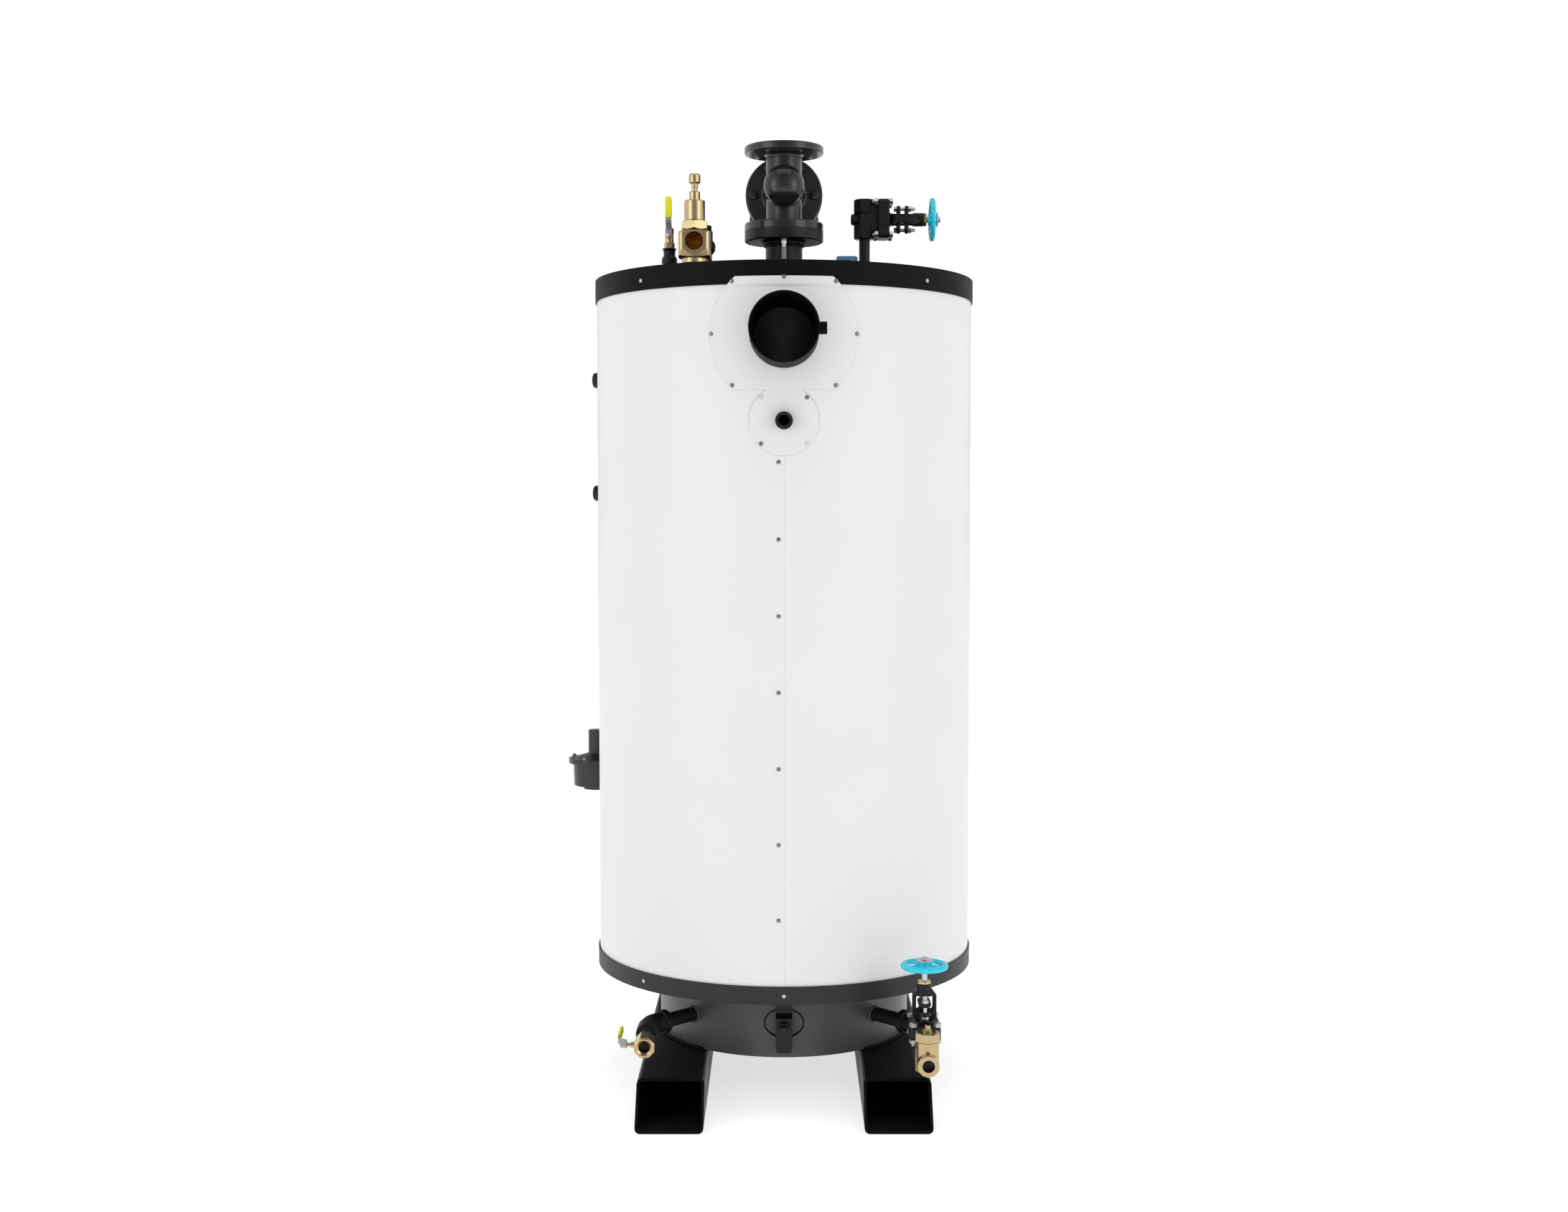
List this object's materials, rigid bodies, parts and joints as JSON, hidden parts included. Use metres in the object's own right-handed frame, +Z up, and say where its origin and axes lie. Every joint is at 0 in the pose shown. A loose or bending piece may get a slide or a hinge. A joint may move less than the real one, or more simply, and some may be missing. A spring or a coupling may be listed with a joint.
{
  "type": "vertical steam boiler",
  "caption": "Vertical packaged steam boiler: white jacket with black rims on a skid, side flue outlet, gate, safety, vent, drain and feed valves.",
  "frame": {"origin": "on the floor, under the vessel's axis, at the middle of the four anchor holes", "axes": "+Z up along the vessel's axis; -Y towards the flue outlet; +X towards the feed line"},
  "size_m": [1.0161, 1.174, 2.2502],
  "materials": {
    "jacket_white": "satin",
    "trim_black": "satin",
    "vessel_black": "semi-gloss",
    "skid_black": "semi-gloss",
    "pipe_black": "satin",
    "iron_black": "painted casting",
    "forged_black": "forged, phosphated",
    "brass": "cast and machined",
    "steel": "bright",
    "wheel_blue": "gloss enamel",
    "grip_yellow": "dipped vinyl",
    "lug_blue": "satin"
  },
  "bodies": {
    "boiler": {"aux_riser": "pipe_black", "aux_valve_body": "forged_black", "aux_valve_bonnet": "forged_black", "aux_valve_bushing": "brass", "aux_valve_gland": "forged_black", "bottom_pan": "trim_black", "check_valve_body": "brass", "check_valve_cap": "brass", "control_tapping": "pipe_black", "drain_coupling": "pipe_black", "drain_elbow": "pipe_black", "drain_pipes": "pipe_black", "drain_valve_body": "brass", "feed_elbow": "pipe_black", "feed_pipes": "pipe_black", "feed_valve_body": "forged_black", "feed_valve_bonnet": "forged_black", "feed_valve_bushing": "brass", "feed_valve_gland": "forged_black", "flue_outlet": "pipe_black", "flue_plate": "jacket_white", "gas_nipple": "pipe_black", "gauge_plugs": "pipe_black", "handhole_cover": "vessel_black", "handhole_stud": "vessel_black", "handhole_yoke": "vessel_black", "jacket": "jacket_white", "lifting_lug": "lug_blue", "main_valve_body": "iron_black", "main_valve_bonnet": "iron_black", "main_valve_gland": "iron_black", "regulator_body": "iron_black", "regulator_cover": "iron_black", "riser_flange": "pipe_black", "safety_nipple": "pipe_black", "safety_valve_body": "brass", "safety_valve_bonnet": "brass", "safety_valve_screw": "brass", "sight_pipe": "pipe_black", "skid_left": "skid_black", "skid_right": "skid_black", "steam_riser": "pipe_black", "top_cover": "trim_black", "vent_fitting": "pipe_black", "vent_valve_body": "brass", "vessel_bottom_head": "vessel_black", "vessel_shell": "vessel_black", "vessel_top_head": "vessel_black"},
    "drain_handle": {"drain_lever": "steel", "drain_grip": "grip_yellow"},
    "vent_handle": {"vent_lever": "steel", "vent_grip": "grip_yellow"},
    "feed_stem": {"feed_valve_stem": "steel"},
    "feed_wheel": {"feed_handwheel": "wheel_blue"},
    "aux_stem": {"aux_valve_stem": "steel"},
    "aux_wheel": {"aux_handwheel": "wheel_blue"},
    "main_wheel": {"main_valve_stem": "steel", "main_handwheel": "iron_black"}
  },
  "joints": [
    {"name": "drain_lever", "type": "hinge", "parent": "boiler", "child": "drain_handle", "pos_m": [-0.3517, -0.47025, 0.18], "axis": [1, 0, 0], "range_deg": [0, 90]},
    {"name": "vent_lever", "type": "hinge", "parent": "boiler", "child": "vent_handle", "pos_m": [-0.275, -0.0763, 2.028], "axis": [0, -1, 0], "range_deg": [0, 90]},
    {"name": "feed_lift", "type": "slide", "parent": "boiler", "child": "feed_stem", "axis": [0, 0, -1], "range_m": [0, 0.018]},
    {"name": "feed_turn", "type": "hinge", "parent": "feed_stem", "child": "feed_wheel", "pos_m": [0.3107, -0.5, 0.366], "axis": [0, 0, -1], "range_deg": [0, 1800]},
    {"name": "aux_lift", "type": "slide", "parent": "boiler", "child": "aux_stem", "axis": [1, 0, 0], "range_m": [0, 0.018]},
    {"name": "aux_turn", "type": "hinge", "parent": "aux_stem", "child": "aux_wheel", "pos_m": [0.368, 0.1, 2.091], "axis": [1, 0, 0], "range_deg": [0, 1800]},
    {"name": "main_turn", "type": "hinge", "parent": "boiler", "child": "main_wheel", "pos_m": [0, 0.428, 2.1486], "axis": [0, 1, 0], "range_deg": [0, 4320]}
  ],
  "couplings": [
    {"joint": "feed_lift", "follows": "feed_turn", "m_per_rad": 0.00057295},
    {"joint": "aux_lift", "follows": "aux_turn", "m_per_rad": 0.00057295}
  ]
}
